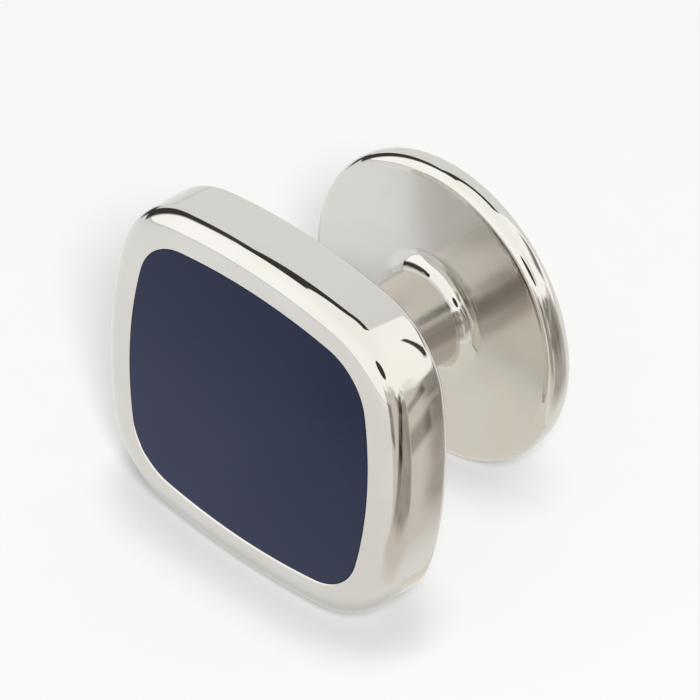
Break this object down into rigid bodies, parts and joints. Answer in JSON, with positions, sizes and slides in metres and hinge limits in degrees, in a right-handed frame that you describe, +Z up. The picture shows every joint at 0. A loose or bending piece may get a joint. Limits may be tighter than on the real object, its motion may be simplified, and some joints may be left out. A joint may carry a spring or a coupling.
{
  "type": "dress stud",
  "caption": "Dress stud with a cushion-shaped polished metal head, a flush navy enamel panel, a short post and a round backing disc.",
  "frame": {"origin": "on the surface that the stud lies on, under the middle of its bounding box", "axes": "+Z up, +X along the head's longer direction, the enamel face looking towards -Y and leaning back by 6 degrees"},
  "size_m": [0.012, 0.0094, 0.0113],
  "materials": {
    "polished_metal": "polished",
    "navy_enamel": "gloss"
  },
  "bodies": {
    "root": {"stud_body": "polished_metal", "enamel_panel": "navy_enamel"}
  },
  "joints": []
}
